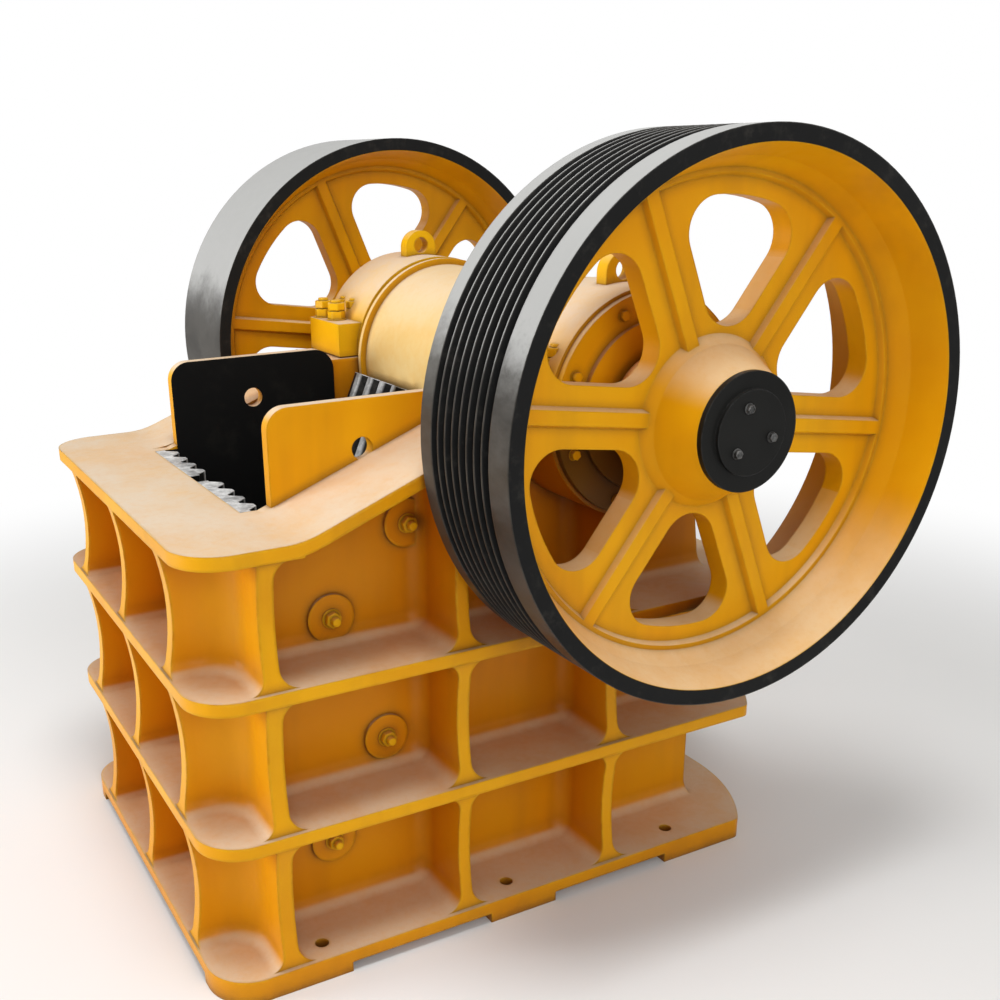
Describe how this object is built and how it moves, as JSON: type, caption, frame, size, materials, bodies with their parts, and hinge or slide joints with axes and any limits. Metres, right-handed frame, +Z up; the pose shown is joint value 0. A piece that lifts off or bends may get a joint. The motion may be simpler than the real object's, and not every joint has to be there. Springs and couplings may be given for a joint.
{
  "type": "jaw crusher",
  "caption": "Single-toggle jaw crusher: ribbed cast frame, toothed jaw plates, swing jaw on an eccentric shaft, bearing caps with lifting eyes, a grooved and a plain flywheel",
  "frame": {"origin": "on the floor, below the middle of the overall box", "axes": "X along the eccentric shaft with the grooved flywheel at +X, Y from the feed end to the toggle end, Z up"},
  "size_m": [1.732, 1.7, 1.646],
  "materials": {
    "yellow_paint": "gloss yellow-orange machine paint over a cast surface",
    "manganese_steel": "bare cast manganese steel, grey",
    "black_paint": "satin black paint",
    "machined_steel": "turned steel",
    "spring_steel": "black spring steel"
  },
  "bodies": {
    "frame": {"frame": "yellow_paint", "fixed_jaw_plate": "manganese_steel", "upper_cheek_plate_left": "yellow_paint", "upper_cheek_plate_right": "yellow_paint", "lower_cheek_plate_left": "manganese_steel", "lower_cheek_plate_right": "manganese_steel", "bearing_cap_left": "yellow_paint", "bearing_cap_right": "yellow_paint", "bearing_cover_left": "yellow_paint", "bearing_cover_right": "yellow_paint", "lifting_eye_left": "yellow_paint", "lifting_eye_right": "yellow_paint", "toggle_seat": "machined_steel", "adjusting_shims": "machined_steel", "toggle_plate": "yellow_paint", "tension_rod": "machined_steel", "spring_plate_front": "machined_steel", "spring_plate_rear": "machined_steel", "tension_spring": "spring_steel", "rod_nut": "machined_steel"},
    "rotor": {"eccentric_shaft": "machined_steel", "grooved_flywheel": "yellow_paint", "plain_flywheel": "yellow_paint", "hub_plate_left": "black_paint", "hub_plate_right": "black_paint"},
    "swing_jaw": {"pitman": "yellow_paint", "moving_jaw_plate": "manganese_steel"}
  },
  "joints": [
    {"name": "rotor_spin", "type": "hinge", "parent": "frame", "child": "rotor", "pos_m": [0, 0.133, 1.121], "axis": [1, 0, 0], "continuous": true},
    {"name": "jaw_on_eccentric", "type": "hinge", "parent": "rotor", "child": "swing_jaw", "pos_m": [0, 0.133, 1.111], "axis": [1, 0, 0], "continuous": true}
  ],
  "couplings": [
    {"joint": "jaw_on_eccentric", "follows": "rotor_spin", "ratio": -1}
  ]
}
